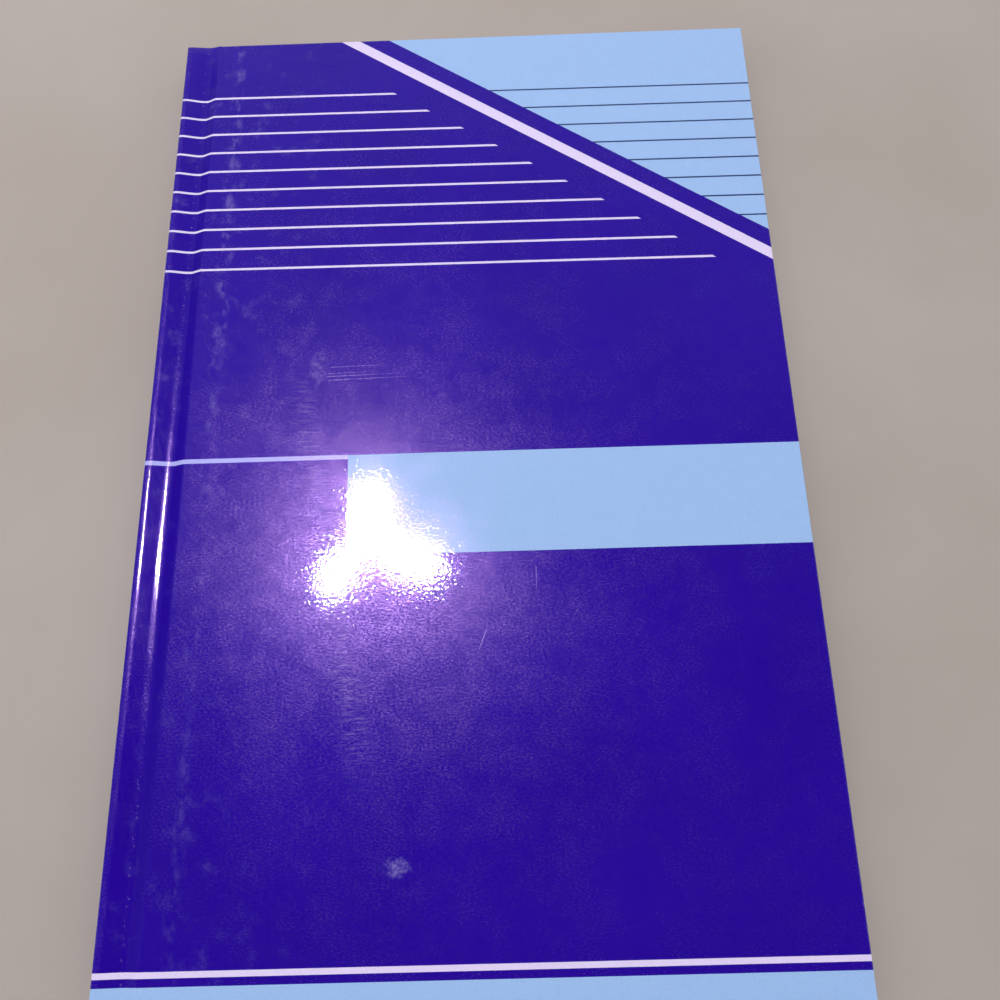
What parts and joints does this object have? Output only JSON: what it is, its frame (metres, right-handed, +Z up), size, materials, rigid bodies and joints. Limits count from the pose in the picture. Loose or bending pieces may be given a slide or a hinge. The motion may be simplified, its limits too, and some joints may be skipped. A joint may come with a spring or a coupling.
{
  "type": "record book",
  "caption": "Casebound ruled record book with glossy blue printed covers, pressed joint grooves and a sewn block of leaves that opens leaf by leaf.",
  "frame": {"origin": "on the table under the middle of the closed book, the middle of the underside of its box", "axes": "+X from the spine to the fore-edge, +Y from the tail to the head, +Z up out of the front cover"},
  "size_m": [0.195, 0.312, 0.0126],
  "materials": {
    "cover_print": "gloss laminated print, blue-violet with pale blue and white stripes",
    "greyboard": "raw grey pulp board",
    "endpaper": "uncoated white endpaper",
    "leaf_paper": "uncoated off-white writing paper with faint rules",
    "mull": "open-weave starched gauze",
    "lining": "brown kraft paper",
    "thread": "waxed thread"
  },
  "bodies": {
    "sewn_block": {"section_1_fold": "leaf_paper", "section_2_fold": "leaf_paper", "section_3_fold": "leaf_paper", "section_4_fold": "leaf_paper", "section_5_fold": "leaf_paper", "sewing_thread": "thread", "mull": "mull", "spine_lining": "lining", "spine_board": "greyboard", "spine_cover_sheet": "cover_print", "front_joint": "cover_print", "back_joint": "cover_print", "front_hinge_paper": "endpaper", "back_hinge_paper": "endpaper"},
    "front_cover": {"front_board": "greyboard", "front_cover_sheet": "cover_print", "front_pastedown": "endpaper"},
    "back_cover": {"back_board": "greyboard", "back_cover_sheet": "cover_print", "back_pastedown": "endpaper"},
    "front_flyleaf": {"front_flyleaf": "endpaper"},
    "back_flyleaf": {"back_flyleaf": "endpaper"},
    "leaf_pair_01": {"leaf_pair_01": "leaf_paper"},
    "leaf_pair_02": {"leaf_pair_02": "leaf_paper"},
    "leaf_pair_03": {"leaf_pair_03": "leaf_paper"},
    "leaf_pair_04": {"leaf_pair_04": "leaf_paper"},
    "leaf_pair_05": {"leaf_pair_05": "leaf_paper"},
    "leaf_pair_06": {"leaf_pair_06": "leaf_paper"},
    "leaf_pair_07": {"leaf_pair_07": "leaf_paper"},
    "leaf_pair_08": {"leaf_pair_08": "leaf_paper"},
    "leaf_pair_09": {"leaf_pair_09": "leaf_paper"},
    "leaf_pair_10": {"leaf_pair_10": "leaf_paper"},
    "leaf_pair_11": {"leaf_pair_11": "leaf_paper"},
    "leaf_pair_12": {"leaf_pair_12": "leaf_paper"},
    "leaf_pair_13": {"leaf_pair_13": "leaf_paper"},
    "leaf_pair_14": {"leaf_pair_14": "leaf_paper"},
    "leaf_pair_15": {"leaf_pair_15": "leaf_paper"},
    "leaf_pair_16": {"leaf_pair_16": "leaf_paper"},
    "leaf_pair_17": {"leaf_pair_17": "leaf_paper"},
    "leaf_pair_18": {"leaf_pair_18": "leaf_paper"},
    "leaf_pair_19": {"leaf_pair_19": "leaf_paper"},
    "leaf_pair_20": {"leaf_pair_20": "leaf_paper"},
    "leaf_pair_21": {"leaf_pair_21": "leaf_paper"},
    "leaf_pair_22": {"leaf_pair_22": "leaf_paper"},
    "leaf_pair_23": {"leaf_pair_23": "leaf_paper"},
    "leaf_pair_24": {"leaf_pair_24": "leaf_paper"},
    "leaf_pair_25": {"leaf_pair_25": "leaf_paper"},
    "leaf_pair_26": {"leaf_pair_26": "leaf_paper"},
    "leaf_pair_27": {"leaf_pair_27": "leaf_paper"},
    "leaf_pair_28": {"leaf_pair_28": "leaf_paper"},
    "leaf_pair_29": {"leaf_pair_29": "leaf_paper"},
    "leaf_pair_30": {"leaf_pair_30": "leaf_paper"},
    "leaf_pair_31": {"leaf_pair_31": "leaf_paper"},
    "leaf_pair_32": {"leaf_pair_32": "leaf_paper"},
    "leaf_pair_33": {"leaf_pair_33": "leaf_paper"},
    "leaf_pair_34": {"leaf_pair_34": "leaf_paper"},
    "leaf_pair_35": {"leaf_pair_35": "leaf_paper"},
    "leaf_pair_36": {"leaf_pair_36": "leaf_paper"},
    "leaf_pair_37": {"leaf_pair_37": "leaf_paper"},
    "leaf_pair_38": {"leaf_pair_38": "leaf_paper"}
  },
  "joints": [
    {"name": "front_cover_hinge", "type": "hinge", "parent": "sewn_block", "child": "front_cover", "pos_m": [-0.09555, 0, 0.00971], "axis": [0, -1, 0], "range_deg": [0, 180], "deforming": ["front_joint", "front_hinge_paper"]},
    {"name": "back_cover_hinge", "type": "hinge", "parent": "sewn_block", "child": "back_cover", "pos_m": [-0.09555, 0, 0.00288], "axis": [0, 1, 0], "range_deg": [0, 180], "deforming": ["back_joint", "back_hinge_paper"]},
    {"name": "front_flyleaf_turn", "type": "hinge", "parent": "sewn_block", "child": "front_flyleaf", "pos_m": [-0.09555, 0, 0.00971], "axis": [0, -1, 0], "range_deg": [0, 180]},
    {"name": "back_flyleaf_turn", "type": "hinge", "parent": "sewn_block", "child": "back_flyleaf", "pos_m": [-0.09555, 0, 0.00288], "axis": [0, 1, 0], "range_deg": [0, 180]},
    {"name": "leaf_pair_01_turn", "type": "hinge", "parent": "sewn_block", "child": "leaf_pair_01", "pos_m": [-0.09555, 0, 0.00971], "axis": [0, -1, 0], "range_deg": [0, 178.37]},
    {"name": "leaf_pair_02_turn", "type": "hinge", "parent": "sewn_block", "child": "leaf_pair_02", "pos_m": [-0.09555, 0, 0.00971], "axis": [0, -1, 0], "range_deg": [0, 177.99]},
    {"name": "leaf_pair_03_turn", "type": "hinge", "parent": "sewn_block", "child": "leaf_pair_03", "pos_m": [-0.09555, 0, 0.00971], "axis": [0, -1, 0], "range_deg": [0, 177.58]},
    {"name": "leaf_pair_04_turn", "type": "hinge", "parent": "sewn_block", "child": "leaf_pair_04", "pos_m": [-0.09555, 0, 0.00971], "axis": [0, -1, 0], "range_deg": [0, 177.17]},
    {"name": "leaf_pair_05_turn", "type": "hinge", "parent": "sewn_block", "child": "leaf_pair_05", "pos_m": [-0.09555, 0, 0.00971], "axis": [0, -1, 0], "range_deg": [0, 176.73]},
    {"name": "leaf_pair_06_turn", "type": "hinge", "parent": "sewn_block", "child": "leaf_pair_06", "pos_m": [-0.09555, 0, 0.00971], "axis": [0, -1, 0], "range_deg": [0, 176.27]},
    {"name": "leaf_pair_07_turn", "type": "hinge", "parent": "sewn_block", "child": "leaf_pair_07", "pos_m": [-0.09555, 0, 0.00971], "axis": [0, -1, 0], "range_deg": [0, 175.73]},
    {"name": "leaf_pair_08_turn", "type": "hinge", "parent": "sewn_block", "child": "leaf_pair_08", "pos_m": [-0.09555, 0, 0.00971], "axis": [0, -1, 0], "range_deg": [0, 175.08]},
    {"name": "leaf_pair_09_turn", "type": "hinge", "parent": "sewn_block", "child": "leaf_pair_09", "pos_m": [-0.09555, 0, 0.00971], "axis": [0, -1, 0], "range_deg": [0, 174.29]},
    {"name": "leaf_pair_10_turn", "type": "hinge", "parent": "sewn_block", "child": "leaf_pair_10", "pos_m": [-0.09555, 0, 0.00971], "axis": [0, -1, 0], "range_deg": [0, 173.24]},
    {"name": "leaf_pair_11_turn", "type": "hinge", "parent": "sewn_block", "child": "leaf_pair_11", "pos_m": [-0.09555, 0, 0.00971], "axis": [0, -1, 0], "range_deg": [0, 171.78]},
    {"name": "leaf_pair_12_turn", "type": "hinge", "parent": "sewn_block", "child": "leaf_pair_12", "pos_m": [-0.09555, 0, 0.00971], "axis": [0, -1, 0], "range_deg": [0, 169.73]},
    {"name": "leaf_pair_13_turn", "type": "hinge", "parent": "sewn_block", "child": "leaf_pair_13", "pos_m": [-0.09555, 0, 0.00971], "axis": [0, -1, 0], "range_deg": [0, 166.71]},
    {"name": "leaf_pair_14_turn", "type": "hinge", "parent": "sewn_block", "child": "leaf_pair_14", "pos_m": [-0.09555, 0, 0.00971], "axis": [0, -1, 0], "range_deg": [0, 162.28]},
    {"name": "leaf_pair_15_turn", "type": "hinge", "parent": "sewn_block", "child": "leaf_pair_15", "pos_m": [-0.09555, 0, 0.00971], "axis": [0, -1, 0], "range_deg": [0, 155.8]},
    {"name": "leaf_pair_16_turn", "type": "hinge", "parent": "sewn_block", "child": "leaf_pair_16", "pos_m": [-0.09555, 0, 0.00971], "axis": [0, -1, 0], "range_deg": [0, 146.6]},
    {"name": "leaf_pair_17_turn", "type": "hinge", "parent": "sewn_block", "child": "leaf_pair_17", "pos_m": [-0.09555, 0, 0.00971], "axis": [0, -1, 0], "range_deg": [0, 134.07]},
    {"name": "leaf_pair_18_turn", "type": "hinge", "parent": "sewn_block", "child": "leaf_pair_18", "pos_m": [-0.09555, 0, 0.00971], "axis": [0, -1, 0], "range_deg": [0, 118.13]},
    {"name": "leaf_pair_19_turn", "type": "hinge", "parent": "sewn_block", "child": "leaf_pair_19", "pos_m": [-0.09555, 0, 0.00971], "axis": [0, -1, 0], "range_deg": [0, 99.48]},
    {"name": "leaf_pair_20_turn", "type": "hinge", "parent": "sewn_block", "child": "leaf_pair_20", "pos_m": [-0.09555, 0, 0.00971], "axis": [0, -1, 0], "range_deg": [0, 79.82]},
    {"name": "leaf_pair_21_turn", "type": "hinge", "parent": "sewn_block", "child": "leaf_pair_21", "pos_m": [-0.09555, 0, 0.00971], "axis": [0, -1, 0], "range_deg": [0, 61.17]},
    {"name": "leaf_pair_22_turn", "type": "hinge", "parent": "sewn_block", "child": "leaf_pair_22", "pos_m": [-0.09555, 0, 0.00971], "axis": [0, -1, 0], "range_deg": [0, 45.23]},
    {"name": "leaf_pair_23_turn", "type": "hinge", "parent": "sewn_block", "child": "leaf_pair_23", "pos_m": [-0.09555, 0, 0.00971], "axis": [0, -1, 0], "range_deg": [0, 32.7]},
    {"name": "leaf_pair_24_turn", "type": "hinge", "parent": "sewn_block", "child": "leaf_pair_24", "pos_m": [-0.09555, 0, 0.00971], "axis": [0, -1, 0], "range_deg": [0, 23.5]},
    {"name": "leaf_pair_25_turn", "type": "hinge", "parent": "sewn_block", "child": "leaf_pair_25", "pos_m": [-0.09555, 0, 0.00971], "axis": [0, -1, 0], "range_deg": [0, 17.02]},
    {"name": "leaf_pair_26_turn", "type": "hinge", "parent": "sewn_block", "child": "leaf_pair_26", "pos_m": [-0.09555, 0, 0.00971], "axis": [0, -1, 0], "range_deg": [0, 12.59]},
    {"name": "leaf_pair_27_turn", "type": "hinge", "parent": "sewn_block", "child": "leaf_pair_27", "pos_m": [-0.09555, 0, 0.00971], "axis": [0, -1, 0], "range_deg": [0, 9.57]},
    {"name": "leaf_pair_28_turn", "type": "hinge", "parent": "sewn_block", "child": "leaf_pair_28", "pos_m": [-0.09555, 0, 0.00971], "axis": [0, -1, 0], "range_deg": [0, 7.52]},
    {"name": "leaf_pair_29_turn", "type": "hinge", "parent": "sewn_block", "child": "leaf_pair_29", "pos_m": [-0.09555, 0, 0.00971], "axis": [0, -1, 0], "range_deg": [0, 6.06]},
    {"name": "leaf_pair_30_turn", "type": "hinge", "parent": "sewn_block", "child": "leaf_pair_30", "pos_m": [-0.09555, 0, 0.00971], "axis": [0, -1, 0], "range_deg": [0, 5.01]},
    {"name": "leaf_pair_31_turn", "type": "hinge", "parent": "sewn_block", "child": "leaf_pair_31", "pos_m": [-0.09555, 0, 0.00971], "axis": [0, -1, 0], "range_deg": [0, 4.22]},
    {"name": "leaf_pair_32_turn", "type": "hinge", "parent": "sewn_block", "child": "leaf_pair_32", "pos_m": [-0.09555, 0, 0.00971], "axis": [0, -1, 0], "range_deg": [0, 3.57]},
    {"name": "leaf_pair_33_turn", "type": "hinge", "parent": "sewn_block", "child": "leaf_pair_33", "pos_m": [-0.09555, 0, 0.00971], "axis": [0, -1, 0], "range_deg": [0, 3.03]},
    {"name": "leaf_pair_34_turn", "type": "hinge", "parent": "sewn_block", "child": "leaf_pair_34", "pos_m": [-0.09555, 0, 0.00971], "axis": [0, -1, 0], "range_deg": [0, 2.57]},
    {"name": "leaf_pair_35_turn", "type": "hinge", "parent": "sewn_block", "child": "leaf_pair_35", "pos_m": [-0.09555, 0, 0.00971], "axis": [0, -1, 0], "range_deg": [0, 2.13]},
    {"name": "leaf_pair_36_turn", "type": "hinge", "parent": "sewn_block", "child": "leaf_pair_36", "pos_m": [-0.09555, 0, 0.00971], "axis": [0, -1, 0], "range_deg": [0, 1.72]},
    {"name": "leaf_pair_37_turn", "type": "hinge", "parent": "sewn_block", "child": "leaf_pair_37", "pos_m": [-0.09555, 0, 0.00971], "axis": [0, -1, 0], "range_deg": [0, 1.31]},
    {"name": "leaf_pair_38_turn", "type": "hinge", "parent": "sewn_block", "child": "leaf_pair_38", "pos_m": [-0.09555, 0, 0.00971], "axis": [0, -1, 0], "range_deg": [0, 0.93]}
  ],
  "couplings": [
    {"joint": "front_flyleaf_turn", "follows": "front_cover_hinge", "ratio": 0.995},
    {"joint": "back_flyleaf_turn", "follows": "back_cover_hinge", "ratio": 0.995},
    {"joint": "leaf_pair_01_turn", "follows": "front_cover_hinge", "ratio": 0.9909},
    {"joint": "leaf_pair_02_turn", "follows": "front_cover_hinge", "ratio": 0.9888},
    {"joint": "leaf_pair_03_turn", "follows": "front_cover_hinge", "ratio": 0.9865},
    {"joint": "leaf_pair_04_turn", "follows": "front_cover_hinge", "ratio": 0.9842},
    {"joint": "leaf_pair_05_turn", "follows": "front_cover_hinge", "ratio": 0.9818},
    {"joint": "leaf_pair_06_turn", "follows": "front_cover_hinge", "ratio": 0.9792},
    {"joint": "leaf_pair_07_turn", "follows": "front_cover_hinge", "ratio": 0.9762},
    {"joint": "leaf_pair_08_turn", "follows": "front_cover_hinge", "ratio": 0.9726},
    {"joint": "leaf_pair_09_turn", "follows": "front_cover_hinge", "ratio": 0.9682},
    {"joint": "leaf_pair_10_turn", "follows": "front_cover_hinge", "ratio": 0.9624},
    {"joint": "leaf_pair_11_turn", "follows": "front_cover_hinge", "ratio": 0.9543},
    {"joint": "leaf_pair_12_turn", "follows": "front_cover_hinge", "ratio": 0.9429},
    {"joint": "leaf_pair_13_turn", "follows": "front_cover_hinge", "ratio": 0.9261},
    {"joint": "leaf_pair_14_turn", "follows": "front_cover_hinge", "ratio": 0.9015},
    {"joint": "leaf_pair_15_turn", "follows": "front_cover_hinge", "ratio": 0.8655},
    {"joint": "leaf_pair_16_turn", "follows": "front_cover_hinge", "ratio": 0.8144},
    {"joint": "leaf_pair_17_turn", "follows": "front_cover_hinge", "ratio": 0.7448},
    {"joint": "leaf_pair_18_turn", "follows": "front_cover_hinge", "ratio": 0.6562},
    {"joint": "leaf_pair_19_turn", "follows": "front_cover_hinge", "ratio": 0.5526},
    {"joint": "leaf_pair_20_turn", "follows": "front_cover_hinge", "ratio": 0.4434},
    {"joint": "leaf_pair_21_turn", "follows": "front_cover_hinge", "ratio": 0.3398},
    {"joint": "leaf_pair_22_turn", "follows": "front_cover_hinge", "ratio": 0.2512},
    {"joint": "leaf_pair_23_turn", "follows": "front_cover_hinge", "ratio": 0.1816},
    {"joint": "leaf_pair_24_turn", "follows": "front_cover_hinge", "ratio": 0.1305},
    {"joint": "leaf_pair_25_turn", "follows": "front_cover_hinge", "ratio": 0.0945},
    {"joint": "leaf_pair_26_turn", "follows": "front_cover_hinge", "ratio": 0.0699},
    {"joint": "leaf_pair_27_turn", "follows": "front_cover_hinge", "ratio": 0.0531},
    {"joint": "leaf_pair_28_turn", "follows": "front_cover_hinge", "ratio": 0.0417},
    {"joint": "leaf_pair_29_turn", "follows": "front_cover_hinge", "ratio": 0.0336},
    {"joint": "leaf_pair_30_turn", "follows": "front_cover_hinge", "ratio": 0.0278},
    {"joint": "leaf_pair_31_turn", "follows": "front_cover_hinge", "ratio": 0.0234},
    {"joint": "leaf_pair_32_turn", "follows": "front_cover_hinge", "ratio": 0.0198},
    {"joint": "leaf_pair_33_turn", "follows": "front_cover_hinge", "ratio": 0.0168},
    {"joint": "leaf_pair_34_turn", "follows": "front_cover_hinge", "ratio": 0.0142},
    {"joint": "leaf_pair_35_turn", "follows": "front_cover_hinge", "ratio": 0.0118},
    {"joint": "leaf_pair_36_turn", "follows": "front_cover_hinge", "ratio": 0.0095},
    {"joint": "leaf_pair_37_turn", "follows": "front_cover_hinge", "ratio": 0.0072},
    {"joint": "leaf_pair_38_turn", "follows": "front_cover_hinge", "ratio": 0.0051}
  ]
}
